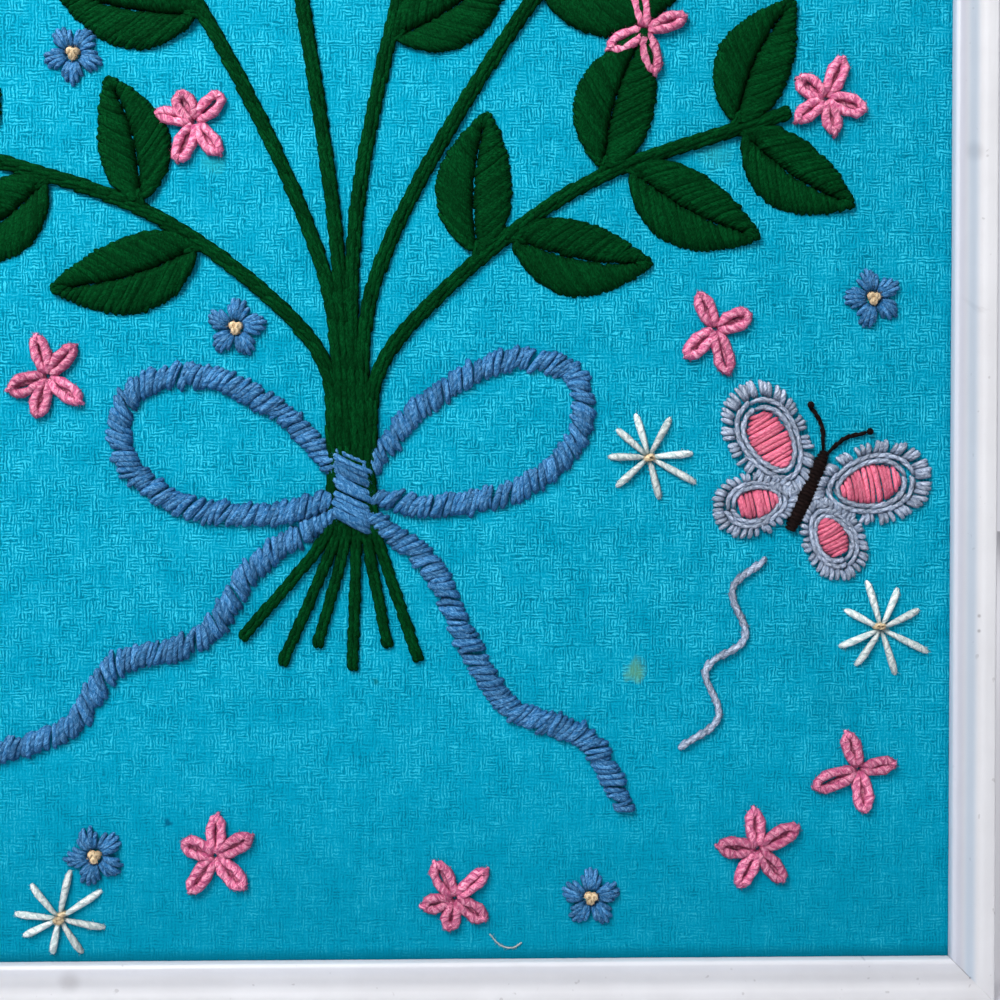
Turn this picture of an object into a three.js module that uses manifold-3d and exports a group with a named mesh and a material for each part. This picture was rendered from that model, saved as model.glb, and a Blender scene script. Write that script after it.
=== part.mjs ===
// Framed crewel embroidery: a cloth stretched over a board, in a narrow mitred picture frame.
// Millimetres, +Z up. The picture faces -Y and the frame stands on its lower rail at z = 0.
import * as THREE from "three";
import { mergeVertices } from "three/addons/utils/BufferGeometryUtils.js";
import Module from "manifold-3d";

// Picture panel: a board of 11 by 14 inches with the cloth drawn over it
const PANEL_WIDTH = 279.4;
const PANEL_HEIGHT = 355.6;
const CLOTH_THICKNESS = 1.0;
const BOARD_THICKNESS = 5.0;
const HEM_WIDTH = 25;
const PANEL_CORNER_RADIUS = 2.0;
const CLOTH_EDGE_ROUND = 0.7;
const INNER_CORNER_RADIUS = 1.2;

// How far a cutting block runs past the faces that it cuts
const CUT_MARGIN = 1;

// Moulding: seen from the front it is 10 mm wide and its lip laps 4 mm over the cloth
const FACE_WIDTH = 10;
const FRAME_DEPTH = 19;
const LIP_OVERLAP = 4.0;
const REBATE_HEIGHT = 16.1;
const LIP_EDGE_HEIGHT = 18.3;
const BEAD_OUT = 0.9;
const BEAD_ROLL = 2.5;
const GROOVE_OUT = 5.6;
const GROOVE_HEIGHT = 18.2;
const GROOVE_ROLL = 1.3;
const FLAT_OUT = 8;
const FLAT_HEIGHT = 18.42;
const OUTER_ROUND = 0.7;

// Room between neighbouring pieces
const GAP = 0.3;

// Opening that the lip leaves, and the whole frame
const SIGHT_WIDTH = PANEL_WIDTH - 2 * LIP_OVERLAP;
const SIGHT_HEIGHT = PANEL_HEIGHT - 2 * LIP_OVERLAP;
const CENTRE_Z = SIGHT_HEIGHT / 2 + FACE_WIDTH;
const BACK_Y = FRAME_DEPTH / 2;

// Materials
const whitePaint = new THREE.MeshStandardMaterial({ color: 0xe9e8ec, roughness: 0.45 });
const turquoise = new THREE.MeshStandardMaterial({ color: 0x12a0c4, roughness: 0.9 });
const board = new THREE.MeshStandardMaterial({ color: 0xcfc6b4, roughness: 0.9 });

const wasm = await Module();
wasm.setup();

// Turns a three.js geometry into a solid for the boolean cuts
function solid(geometry) {
  const bare = geometry.clone();
  bare.deleteAttribute("normal");
  bare.deleteAttribute("uv");
  const merged = mergeVertices(bare, 1e-4);
  const mesh = new wasm.Mesh({
    numProp: 3,
    vertProperties: merged.attributes.position.array,
    triVerts: new Uint32Array(merged.index.array),
  });
  return new wasm.Manifold(mesh);
}

// Turns a solid back into a geometry
function geometryOf(body) {
  const mesh = body.getMesh();
  const geometry = new THREE.BufferGeometry();
  geometry.setAttribute("position", new THREE.BufferAttribute(mesh.vertProperties, 3));
  geometry.setIndex(new THREE.BufferAttribute(mesh.triVerts, 1));
  geometry.computeVertexNormals();
  return geometry;
}

// Section of the moulding: x runs outwards from the sight edge, y up from the back of the frame.
// A low bead along the sight edge, a soft groove, then a flat out to the rounded outer edge.
function mouldingSection() {
  const wall = LIP_OVERLAP + GAP;
  const section = new THREE.Shape();
  section.moveTo(wall, 0);
  section.lineTo(FACE_WIDTH, 0);
  section.lineTo(FACE_WIDTH, FLAT_HEIGHT - OUTER_ROUND);
  section.quadraticCurveTo(FACE_WIDTH, FLAT_HEIGHT, FACE_WIDTH - OUTER_ROUND, FLAT_HEIGHT);
  section.lineTo(FLAT_OUT, FLAT_HEIGHT);
  section.bezierCurveTo(
    FLAT_OUT - GROOVE_ROLL, FLAT_HEIGHT,
    GROOVE_OUT + GROOVE_ROLL, GROOVE_HEIGHT,
    GROOVE_OUT, GROOVE_HEIGHT,
  );
  section.bezierCurveTo(
    GROOVE_OUT - GROOVE_ROLL, GROOVE_HEIGHT,
    BEAD_OUT + BEAD_ROLL, FRAME_DEPTH,
    BEAD_OUT, FRAME_DEPTH,
  );
  section.bezierCurveTo(BEAD_OUT / 2, FRAME_DEPTH, 0, FLAT_HEIGHT, 0, LIP_EDGE_HEIGHT);
  section.lineTo(0, REBATE_HEIGHT);
  section.lineTo(wall, REBATE_HEIGHT);
  section.closePath();
  return section;
}

// One length of moulding. The section is drawn out along the rail, and each end slides out by its own distance
// from the sight edge, which cuts the end to a mitre.
function rail(name, halfLength, halfAcross, turn) {
  const geometry = new THREE.ExtrudeGeometry(mouldingSection(), {
    depth: 1,
    bevelEnabled: false,
    curveSegments: 8,
  });
  const mitreInset = (GAP / 2) * Math.SQRT2;
  const points = geometry.attributes.position;
  for (let i = 0; i < points.count; i++) {
    const outwards = points.getX(i);
    const height = points.getY(i);
    const side = points.getZ(i) < 0.5 ? 1 : -1;
    const reach = halfLength + outwards - mitreInset;
    points.setXYZ(i, side * reach, BACK_Y - height, -(halfAcross + outwards));
  }
  geometry.deleteAttribute("normal");
  geometry.deleteAttribute("uv");
  const mesh = new THREE.Mesh(mergeVertices(geometry, 1e-4), whitePaint);
  mesh.geometry.computeVertexNormals();
  mesh.name = name;
  mesh.rotation.y = turn;
  mesh.position.z = CENTRE_Z;
  return mesh;
}

// A flat slab that faces -Y, with rounded corners and, where asked, softly rounded edges
function slab(width, height, corner, frontY, backY, round) {
  const x = width / 2;
  const z = height / 2;
  const outline = new THREE.Shape();
  outline.moveTo(-x + corner, -z);
  outline.lineTo(x - corner, -z);
  outline.quadraticCurveTo(x, -z, x, -z + corner);
  outline.lineTo(x, z - corner);
  outline.quadraticCurveTo(x, z, x - corner, z);
  outline.lineTo(-x + corner, z);
  outline.quadraticCurveTo(-x, z, -x, z - corner);
  outline.lineTo(-x, -z + corner);
  outline.quadraticCurveTo(-x, -z, -x + corner, -z);
  const geometry = new THREE.ExtrudeGeometry(outline, {
    depth: backY - frontY - 2 * round,
    bevelEnabled: round > 0,
    bevelThickness: round,
    bevelSize: round,
    bevelOffset: -round,
    bevelSegments: 3,
    curveSegments: 6,
  });
  geometry.rotateX(Math.PI / 2);
  geometry.translate(0, backY - round, 0);
  return geometry;
}

// Depths of the layers behind the lip, from the front
const CLOTH_FRONT_Y = BACK_Y - REBATE_HEIGHT + GAP;
const BOARD_FRONT_Y = CLOTH_FRONT_Y + CLOTH_THICKNESS + GAP;
const BOARD_BACK_Y = BOARD_FRONT_Y + BOARD_THICKNESS;
const HEM_FRONT_Y = BOARD_BACK_Y + GAP;
const HEM_BACK_Y = HEM_FRONT_Y + CLOTH_THICKNESS;

// Cloth: a sheet over the front of the board, turned round its edges and laid flat on its back as a hem
function cloth() {
  const pocketWidth = PANEL_WIDTH - 2 * CLOTH_THICKNESS;
  const pocketHeight = PANEL_HEIGHT - 2 * CLOTH_THICKNESS;
  const windowWidth = PANEL_WIDTH - 2 * HEM_WIDTH;
  const windowHeight = PANEL_HEIGHT - 2 * HEM_WIDTH;
  const pocketFrontY = CLOTH_FRONT_Y + CLOTH_THICKNESS;
  const outer = solid(
    slab(PANEL_WIDTH, PANEL_HEIGHT, PANEL_CORNER_RADIUS, CLOTH_FRONT_Y, HEM_BACK_Y, CLOTH_EDGE_ROUND),
  );
  const pocket = solid(slab(pocketWidth, pocketHeight, INNER_CORNER_RADIUS, pocketFrontY, HEM_FRONT_Y, 0));
  const windowFrontY = HEM_FRONT_Y - CUT_MARGIN;
  const windowBackY = HEM_BACK_Y + CUT_MARGIN;
  const backWindow = solid(slab(windowWidth, windowHeight, INNER_CORNER_RADIUS, windowFrontY, windowBackY, 0));
  const mesh = new THREE.Mesh(geometryOf(outer.subtract(pocket).subtract(backWindow)), turquoise);
  mesh.name = "cloth";
  mesh.position.z = CENTRE_Z;
  return mesh;
}

// Board: fills the folded cloth with a little room all round
function mountBoard() {
  const width = PANEL_WIDTH - 2 * (CLOTH_THICKNESS + GAP);
  const height = PANEL_HEIGHT - 2 * (CLOTH_THICKNESS + GAP);
  const mesh = new THREE.Mesh(slab(width, height, INNER_CORNER_RADIUS, BOARD_FRONT_Y, BOARD_BACK_Y, 0), board);
  mesh.name = "mount_board";
  mesh.position.z = CENTRE_Z;
  return mesh;
}

// Assembly
const picture = new THREE.Group();
picture.name = "framed_crewel_embroidery";
picture.add(rail("rail_bottom", SIGHT_WIDTH / 2, SIGHT_HEIGHT / 2, 0));
picture.add(rail("rail_left", SIGHT_HEIGHT / 2, SIGHT_WIDTH / 2, Math.PI / 2));
picture.add(rail("rail_top", SIGHT_WIDTH / 2, SIGHT_HEIGHT / 2, Math.PI));
picture.add(rail("rail_right", SIGHT_HEIGHT / 2, SIGHT_WIDTH / 2, -Math.PI / 2));
picture.add(cloth());
picture.add(mountBoard());

export default picture;
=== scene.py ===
# %% [markdown]
# # A framed crewel embroidery
# This lesson builds a turquoise cloth worked in wool, stretched over a board in a narrow white frame.
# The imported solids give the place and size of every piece, so the first cell loads them, and every later
# piece is modelled in the same frame: metres, +Z up, the picture facing -Y.

import math

import bpy
import numpy as np
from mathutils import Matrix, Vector


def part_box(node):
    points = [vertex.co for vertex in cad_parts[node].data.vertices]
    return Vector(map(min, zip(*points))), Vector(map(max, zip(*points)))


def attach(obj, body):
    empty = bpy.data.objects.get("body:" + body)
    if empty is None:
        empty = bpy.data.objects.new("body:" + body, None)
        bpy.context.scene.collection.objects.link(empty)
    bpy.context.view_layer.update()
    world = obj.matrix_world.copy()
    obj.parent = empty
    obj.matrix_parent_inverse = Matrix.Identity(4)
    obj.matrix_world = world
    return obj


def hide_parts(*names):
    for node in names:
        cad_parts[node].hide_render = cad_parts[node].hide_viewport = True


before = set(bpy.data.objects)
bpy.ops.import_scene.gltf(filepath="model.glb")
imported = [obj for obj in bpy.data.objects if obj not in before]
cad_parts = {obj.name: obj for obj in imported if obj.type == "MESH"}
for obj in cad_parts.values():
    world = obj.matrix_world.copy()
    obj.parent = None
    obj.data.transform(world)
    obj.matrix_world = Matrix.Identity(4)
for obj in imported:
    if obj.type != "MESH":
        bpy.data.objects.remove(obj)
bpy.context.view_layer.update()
bpy.ops.object.select_all(action="DESELECT")
print("solids:", sorted(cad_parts))

# %% [markdown]
# ## Sizes
# A maker thinks of this object in millimetres: a sheet of 11 by 14 inches, a moulding 10 mm wide. These are
# the same sizes as the solids have. `MM` turns them into Blender's metres. Picture places are given as
# (u, v) in millimetres from the middle of the picture, u to the right and v up.

# %% Sizes of the object
MM = 0.001
PANEL_WIDTH, PANEL_HEIGHT = 279.4, 355.6
LIP_OVERLAP = 4.0
FACE_WIDTH = 10.0
FRAME_DEPTH = 19.0
HEM_WIDTH = 25.0
SIGHT_WIDTH = PANEL_WIDTH - 2 * LIP_OVERLAP
SIGHT_HEIGHT = PANEL_HEIGHT - 2 * LIP_OVERLAP
CENTRE_Z = SIGHT_HEIGHT / 2 + FACE_WIDTH
BACK_Y = FRAME_DEPTH / 2
cloth_low, cloth_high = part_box("cloth")
CLOTH_Y = cloth_low[1] / MM
HEM_Y = cloth_high[1] / MM
dice = np.random.default_rng(1974)
print("cloth face at y =", round(CLOTH_Y, 2), "mm, hem at y =", round(HEM_Y, 2), "mm")

# %% [markdown]
# ## Shared shader helpers
# Each finish is a small tree of nodes. Two helpers keep the trees readable: one adds a node with its
# settings, and one adds a Math node and links what goes into it.

# %% Node helpers


def add_node(tree, kind, settings=None, inputs=None):
    """Adds a node; inputs maps a socket's name or number to a value or to another node's output."""
    node = tree.nodes.new(kind)
    for name, value in (settings or {}).items():
        setattr(node, name, value)
    for name, value in (inputs or {}).items():
        if isinstance(value, bpy.types.NodeSocket):
            tree.links.new(value, node.inputs[name])
        else:
            node.inputs[name].default_value = value
    return node


def math_node(tree, operation, *values):
    return add_node(tree, "ShaderNodeMath", {"operation": operation}, dict(enumerate(values))).outputs[0]


def smooth_range(tree, value, low, high, to_low=0.0, to_high=1.0):
    node = add_node(tree, "ShaderNodeMapRange", {"interpolation_type": "SMOOTHSTEP"}, {0: value})
    for socket, number in zip(("From Min", "From Max", "To Min", "To Max"), (low, high, to_low, to_high)):
        node.inputs[socket].default_value = number
    return node.outputs[0]


def mix_colour(tree, factor, a, b, blend="MIX"):
    node = add_node(tree, "ShaderNodeMix", {"data_type": "RGBA", "blend_type": blend})
    for socket, value in zip((node.inputs[0], node.inputs[6], node.inputs[7]), (factor, a, b)):
        if isinstance(value, bpy.types.NodeSocket):
            tree.links.new(value, socket)
        else:
            socket.default_value = value
    return node.outputs[2]


def noise(tree, vector, scale, detail=2.0, roughness=0.5, distortion=0.0):
    node = add_node(tree, "ShaderNodeTexNoise", None, {"Vector": vector, "Scale": scale, "Detail": detail})
    node.inputs["Roughness"].default_value = roughness
    node.inputs["Distortion"].default_value = distortion
    return node.outputs[0]


def new_group(name, inputs, outputs):
    """A shader node group with named sockets, and its input and output nodes."""
    tree = bpy.data.node_groups.new(name, "ShaderNodeTree")
    for socket, kind, value in inputs:
        made = tree.interface.new_socket(socket, in_out="INPUT", socket_type=kind)
        made.default_value = value
    for socket, kind in outputs:
        tree.interface.new_socket(socket, in_out="OUTPUT", socket_type=kind)
    return tree, tree.nodes.new("NodeGroupInput"), tree.nodes.new("NodeGroupOutput")


def rgb(red, green, blue):
    """An 8-bit colour as it looks on a screen, as the linear colour that a shader wants."""
    shares = [c / 255 for c in (red, green, blue)]
    return tuple(c / 12.92 if c <= 0.04045 else ((c + 0.055) / 1.055) ** 2.4 for c in shares) + (1.0,)


COLOUR, VALUE = "NodeSocketColor", "NodeSocketFloat"
print("node helpers ready")

# %% [markdown]
# ## Wool
# Crewel wool is two plies twisted together. On a strand the twist shows as slanting hollows, and between
# them run fine fibres. Every strand below carries a UV map called `strand`: u goes once round it and v runs
# along it in millimetres. The group turns those into slanting bands, so the twist follows each stitch
# wherever it lies. `tone` is a number that each stitch keeps, so no two stitches have quite the same shade.

# %% Twisted wool group
wool_group, wool_in, wool_out = new_group(
    "twisted_wool",
    [("Light", COLOUR, (1, 1, 1, 1)), ("Middle", COLOUR, (0.5, 0.5, 0.5, 1)), ("Dark", COLOUR, (0, 0, 0, 1)),
     ("Twist Length", VALUE, 3.2), ("Twist Depth", VALUE, 0.4), ("Shade Strength", VALUE, 0.5)],
    [("Colour", COLOUR), ("Height", VALUE)],
)
t = wool_group
strand_uv = add_node(t, "ShaderNodeUVMap", {"uv_map": "strand"}).outputs[0]
split_uv = add_node(t, "ShaderNodeSeparateXYZ", None, {0: strand_uv})
stitch_tone = add_node(t, "ShaderNodeAttribute", {"attribute_name": "tone"}).outputs["Fac"]
turns = math_node(t, "DIVIDE", split_uv.outputs[1], wool_in.outputs["Twist Length"])
shifted = math_node(t, "MULTIPLY_ADD", stitch_tone, 5.0, turns)
slack_place = add_node(t, "ShaderNodeCombineXYZ", None, {0: split_uv.outputs[1], 1: shifted}).outputs[0]
slack = math_node(t, "MULTIPLY", noise(t, slack_place, 0.45, 2.0), 2.4)
ply_phase = math_node(t, "ADD", math_node(t, "MULTIPLY_ADD", split_uv.outputs[0], 2.0, shifted), slack)
ply_wave = math_node(t, "SINE", math_node(t, "MULTIPLY", ply_phase, 2 * math.pi))
ply_hollow = math_node(t, "MULTIPLY", smooth_range(t, ply_wave, -1.0, 0.2, 1.0, 0.0),
                       wool_in.outputs["Twist Depth"])
fibre_place = add_node(t, "ShaderNodeCombineXYZ", None,
                       {0: math_node(t, "MULTIPLY", ply_phase, 3.0),
                        1: math_node(t, "MULTIPLY", split_uv.outputs[1], 0.55),
                        2: math_node(t, "MULTIPLY", stitch_tone, 40.0)}).outputs[0]
fibres = noise(t, fibre_place, 2.6, 3.0, 0.65)
lit = mix_colour(t, smooth_range(t, fibres, 0.40, 0.66), wool_in.outputs["Middle"], wool_in.outputs["Light"])
streaked = mix_colour(t, smooth_range(t, fibres, 0.50, 0.30, 0.0, 0.65), lit, wool_in.outputs["Dark"])
# The hollows between the plies are painted darker as shade; the same hollows also give the relief below
twisted = mix_colour(t, ply_hollow, streaked, wool_in.outputs["Dark"])
# The map's first axis runs once round the strand, with the crest at a quarter, so the sides can be painted
# darker as shade
crest = math_node(t, "SINE", math_node(t, "MULTIPLY", split_uv.outputs[0], 2 * math.pi))
painted_side_shade = math_node(t, "MULTIPLY", smooth_range(t, crest, 0.0, 0.9, 1.0, 0.0),
                      wool_in.outputs["Shade Strength"])
shaded_yarn = mix_colour(t, painted_side_shade, twisted, wool_in.outputs["Dark"])
# Painted shade: a stitch is darkest where it comes up through the cloth
painted_root_shade = math_node(t, "MULTIPLY", smooth_range(t, split_uv.outputs[1], 0.3, 2.6, 1.2, 0.0),
                   wool_in.outputs["Shade Strength"])
shaded_yarn = mix_colour(t, painted_root_shade, shaded_yarn, wool_in.outputs["Dark"])
shade = smooth_range(t, stitch_tone, 0.0, 1.0, 0.76, 1.16)
shade_rgb = add_node(t, "ShaderNodeCombineColor", None, {0: shade, 1: shade, 2: shade}).outputs[0]
t.links.new(mix_colour(t, 1.0, shaded_yarn, shade_rgb, "MULTIPLY"), wool_out.inputs["Colour"])
fibre_height = math_node(t, "MULTIPLY", fibres, 0.5)
t.links.new(math_node(t, "SUBTRACT", fibre_height, ply_hollow), wool_out.inputs["Height"])
print("group:", wool_group.name)

# %% Wool materials


def principled(name, roughness):
    material = bpy.data.materials.new(name)
    material.use_nodes = True
    shader = material.node_tree.nodes["Principled BSDF"]
    shader.inputs["Roughness"].default_value = roughness
    return material, material.node_tree, shader


def wool(name, light, middle, dark, sheen=0.12, twist=3.2, depth=0.4, side=0.5, shine=0.08):
    material, tree, shader = principled(name, 0.85)
    yarn = add_node(tree, "ShaderNodeGroup", {"node_tree": wool_group},
                    {"Light": rgb(*light), "Middle": rgb(*middle), "Dark": rgb(*dark),
                     "Twist Length": twist, "Twist Depth": depth, "Shade Strength": side})
    tree.links.new(yarn.outputs["Colour"], shader.inputs["Base Color"])
    relief = add_node(tree, "ShaderNodeBump", None, {"Height": yarn.outputs["Height"], "Distance": 0.32 * MM})
    relief.inputs["Strength"].default_value = 0.9
    tree.links.new(relief.outputs[0], shader.inputs["Normal"])
    shader.inputs["Specular IOR Level"].default_value = shine
    shader.inputs["Sheen Weight"].default_value = sheen
    shader.inputs["Sheen Roughness"].default_value = 0.5
    shader.inputs["Sheen Tint"].default_value = rgb(*light)
    return material


green_wool = wool("green_wool", (4, 70, 31), (0, 47, 17), (0, 25, 6),
                  sheen=0.01, depth=0.12, side=0.45, shine=0.02)
pink_wool = wool("pink_wool", (252, 180, 204), (232, 116, 154), (150, 46, 98),
                 twist=2.4, depth=0.55, side=0.6)
coral_wool = wool("coral_wool", (252, 150, 172), (236, 112, 142), (184, 70, 104),
                  twist=2.8, depth=0.25, side=0.4)
blue_wool = wool("blue_wool", (104, 158, 204), (48, 114, 164), (4, 74, 126), depth=0.45, side=0.5)
grey_wool = wool("grey_wool", (206, 216, 232), (162, 176, 198), (96, 114, 140), depth=0.45, side=0.6)
ivory_wool = wool("ivory_wool", (246, 248, 244), (218, 228, 224), (138, 170, 174),
                  twist=3.6, depth=0.5, side=0.5)
cream_wool = wool("cream_wool", (250, 228, 190), (236, 212, 172), (190, 160, 122), side=0.4)
black_wool = wool("black_wool", (40, 26, 24), (24, 14, 14), (6, 4, 4))
print("wool colours:", [m.name for m in bpy.data.materials if m.name.endswith("_wool")])

# %% [markdown]
# ## Plain weave
# The ground is an uneven plain weave, with threads about 0.75 mm apart both ways. In small patches the warp
# lies over the weft or under it, so short pale dashes run up in one place and across in the next. The group
# draws warp and weft as two waves on Object coordinates, bends them a little, and lets a noise decide which
# of them leads. Stained places are drawn in the material itself, because only this cloth has them.

# %% Plain weave group
THREAD_PITCH_U, THREAD_PITCH_V = 0.73, 0.75
weave_group, weave_in, weave_out = new_group(
    "plain_weave",
    [("Light", COLOUR, (1, 1, 1, 1)), ("Middle", COLOUR, (0.5, 0.5, 0.5, 1)), ("Dark", COLOUR, (0, 0, 0, 1))],
    [("Colour", COLOUR)],
)
t = weave_group
place_m = add_node(t, "ShaderNodeTexCoord").outputs["Object"]
place = add_node(t, "ShaderNodeVectorMath", {"operation": "SCALE"}, {0: place_m, "Scale": 1 / MM}).outputs[0]
axes = add_node(t, "ShaderNodeSeparateXYZ", None, {0: place})
across, up = axes.outputs[0], axes.outputs[2]


def stretched(tree, scale_u, scale_v, shift):
    """The place on the cloth, drawn out by different amounts across and up."""
    return add_node(tree, "ShaderNodeCombineXYZ", None,
                    {0: math_node(tree, "MULTIPLY_ADD", across, scale_u, shift),
                     1: math_node(tree, "MULTIPLY_ADD", up, scale_v, -shift), 2: shift}).outputs[0]


wander_u = noise(t, stretched(t, 0.6, 0.22, 3.1), 1.0, 3.0, 0.6)
wander_v = noise(t, stretched(t, 0.22, 0.6, 8.7), 1.0, 3.0, 0.6)
shaky = noise(t, stretched(t, 1.5, 1.1, 14.0), 1.0, 2.0, 0.6)
shake = math_node(t, "MULTIPLY", shaky, 0.55)
bent_u = math_node(t, "ADD", math_node(t, "MULTIPLY_ADD", wander_u, 1.7, across), shake)
bent_v = math_node(t, "SUBTRACT", math_node(t, "MULTIPLY_ADD", wander_v, 1.7, up), shake)
warp = math_node(t, "SINE", math_node(t, "MULTIPLY", bent_u, 2 * math.pi / THREAD_PITCH_U))
weft = math_node(t, "SINE", math_node(t, "MULTIPLY", bent_v, 2 * math.pi / THREAD_PITCH_V))
lead = noise(t, stretched(t, 0.46, 0.46, 21.0), 1.0, 2.0, 0.6)
warp_shows = smooth_range(t, lead, 0.42, 0.56)
leading = math_node(t, "ADD", math_node(t, "MULTIPLY", warp, warp_shows),
                    math_node(t, "MULTIPLY", weft, math_node(t, "SUBTRACT", 1.0, warp_shows)))
shows = smooth_range(t, noise(t, stretched(t, 0.16, 0.16, 63.0), 1.0, 1.0, 0.6), 0.30, 0.60, 0.55, 1.0)
low_edge = smooth_range(t, up, 14.0, 110.0, 0.55, 1.0)
dashes = math_node(t, "MULTIPLY", leading, math_node(t, "MULTIPLY", shows, low_edge))
slub_warp = noise(t, stretched(t, 1.15, 0.10, 5.0), 1.0, 2.0, 0.6)
slub_weft = noise(t, stretched(t, 0.10, 1.15, 77.0), 1.0, 2.0, 0.6)
grainy = noise(t, stretched(t, 2.4, 2.0, 91.0), 1.0, 2.0, 0.6)
mottle = noise(t, stretched(t, 0.11, 0.11, 31.0), 1.0, 2.0, 0.6)
tone_sum = 0.0
for part, weight in [(dashes, 0.34), (slub_warp, 0.34), (slub_weft, 0.24), (grainy, 0.46), (mottle, 0.35)]:
    tone_sum = math_node(t, "MULTIPLY_ADD", part, weight, tone_sum)
tone_middle = 0.5 * (0.34 + 0.24 + 0.46 + 0.35) + 0.04
darker = mix_colour(t, smooth_range(t, tone_sum, tone_middle - 0.45, tone_middle + 0.02),
                    weave_in.outputs["Dark"], weave_in.outputs["Middle"])
weave_colour = mix_colour(t, smooth_range(t, tone_sum, tone_middle - 0.02, tone_middle + 0.50),
                          darker, weave_in.outputs["Light"])
t.links.new(weave_colour, weave_out.inputs["Colour"])
print("group:", weave_group.name)

# %% Turquoise cloth material
turquoise_cloth, tree, shader = principled("turquoise_cloth", 0.92)
weave = add_node(tree, "ShaderNodeGroup", {"node_tree": weave_group},
                 {"Light": rgb(60, 206, 231), "Middle": rgb(0, 150, 181), "Dark": rgb(0, 110, 136)})
cloth_place = add_node(tree, "ShaderNodeTexCoord").outputs["Object"]
RAGGED_EDGE = 4.0 * MM
ragged = add_node(tree, "ShaderNodeTexNoise", {"noise_dimensions": "3D"},
                  {"Vector": cloth_place, "Scale": 420.0, "Detail": 1.0}).outputs["Color"]
ragged_place = add_node(tree, "ShaderNodeVectorMath", {"operation": "MULTIPLY_ADD"},
                        {0: ragged, 1: (RAGGED_EDGE,) * 3, 2: cloth_place}).outputs[0]

# u, v, radius in mm, strength, colour
STAINS = [
    (63.9, -108.5, 2.7, 0.62, (96, 150, 84)),
    (5.6, -110.4, 1.1, 0.70, (0, 88, 92)),
    (-41.9, -142.4, 1.3, 0.75, (0, 74, 110)),
    (103.3, -100.5, 6.0, 0.25, (0, 116, 142)),
    (108.6, -116.6, 7.0, 0.22, (0, 116, 142)),
    (81.8, 9.0, 4.0, 0.20, (60, 170, 150)),
    (-30.9, 6.3, 3.4, 0.20, (60, 170, 150)),
]
stains_and_shade = weave.outputs["Colour"]
for u, v, radius, strength, colour in STAINS:
    middle = Vector((u, CLOTH_Y, v + CENTRE_Z)) * MM + Vector((RAGGED_EDGE / 2,) * 3)
    away = add_node(tree, "ShaderNodeVectorMath", {"operation": "DISTANCE"}, {0: ragged_place, 1: middle})
    mask = smooth_range(tree, away.outputs["Value"], radius * MM * 0.25, radius * MM * 1.2, strength, 0.0)
    stains_and_shade = mix_colour(tree, mask, stains_and_shade, rgb(*colour))
# Painted shade darkens the cloth where it meets the lip, most of all along the bottom, and the cloth is also
# a little darker towards the bottom
cloth_axes = add_node(tree, "ShaderNodeSeparateXYZ", None, {0: cloth_place})
lip_shade_low = smooth_range(tree, cloth_axes.outputs[2], FACE_WIDTH * MM, (FACE_WIDTH + 4.5) * MM, 0.80, 0.0)
darker_towards_bottom = smooth_range(tree, cloth_axes.outputs[2], FACE_WIDTH * MM, (FACE_WIDTH + 48) * MM, 0.24, 0.0)
sight_right = SIGHT_WIDTH / 2 * MM
lip_shade_right = smooth_range(tree, cloth_axes.outputs[0], sight_right - 2.2 * MM, sight_right, 0.0, 0.30)
painted_lip_shade_and_low_fade = math_node(tree, "MAXIMUM", math_node(tree, "MAXIMUM", lip_shade_low, darker_towards_bottom), lip_shade_right)
stains_and_shade = mix_colour(tree, painted_lip_shade_and_low_fade, stains_and_shade, rgb(0, 100, 124))
tree.links.new(stains_and_shade, shader.inputs["Base Color"])
shader.inputs["Specular IOR Level"].default_value = 0.03
print("material:", turquoise_cloth.name, "with", len(STAINS), "stains")

# %% [markdown]
# ## Painted moulding
# The frame is wood under an old coat of white satin paint: a little cloudy, with small grey scuffs, a few
# specks, and bare wood behind, where nobody paints. Wear belongs to the paint, so it is one group that
# takes the coat's colour and gives back the worn colour, its roughness and its relief.

# %% Worn paint group
paint_group, paint_in, paint_out = new_group(
    "worn_paint",
    [("Paint", COLOUR, (0.8, 0.8, 0.8, 1)), ("Grime", COLOUR, (0.3, 0.3, 0.3, 1)),
     ("Bare Wood", COLOUR, (0.4, 0.3, 0.2, 1))],
    [("Colour", COLOUR), ("Roughness", VALUE), ("Height", VALUE)],
)
t = paint_group
paint_place = add_node(t, "ShaderNodeTexCoord").outputs["Object"]
fine = noise(t, paint_place, 900.0, 4.0, 0.6)
cloudy = noise(t, paint_place, 60.0, 3.0, 0.6)
specks = smooth_range(t, noise(t, paint_place, 520.0, 1.0, 0.4), 0.74, 0.79)
scuffs = smooth_range(t, noise(t, paint_place, 38.0, 5.0, 0.7, 1.5), 0.66, 0.80, 0.0, 0.30)
grimy = math_node(t, "MAXIMUM", math_node(t, "MULTIPLY", specks, 0.35), scuffs)
uneven = smooth_range(t, cloudy, 0.3, 0.7, 0.0, 0.10)
aged = mix_colour(t, uneven, paint_in.outputs["Paint"], paint_in.outputs["Grime"])
worn = mix_colour(t, grimy, aged, paint_in.outputs["Grime"])
depth = add_node(t, "ShaderNodeSeparateXYZ", None, {0: paint_place}).outputs[1]
ragged_depth = math_node(t, "MULTIPLY_ADD", cloudy, 0.0012, depth)
bare = smooth_range(t, ragged_depth, (BACK_Y - 0.6) * MM, (BACK_Y + 0.1) * MM)
grain_place = add_node(t, "ShaderNodeMapping", None, {0: paint_place, "Scale": (1.0, 6.0, 1.0)}).outputs[0]
grain = noise(t, grain_place, 160.0, 4.0, 0.65)
wood = mix_colour(t, smooth_range(t, grain, 0.35, 0.7, 0.0, 0.5),
                  paint_in.outputs["Bare Wood"], paint_in.outputs["Grime"])
t.links.new(mix_colour(t, bare, worn, wood), paint_out.inputs["Colour"])
coat_rough = math_node(t, "MULTIPLY_ADD", fine, 0.2, 0.32)
t.links.new(math_node(t, "MULTIPLY_ADD", grimy, 0.4, coat_rough), paint_out.inputs["Roughness"])
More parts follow.
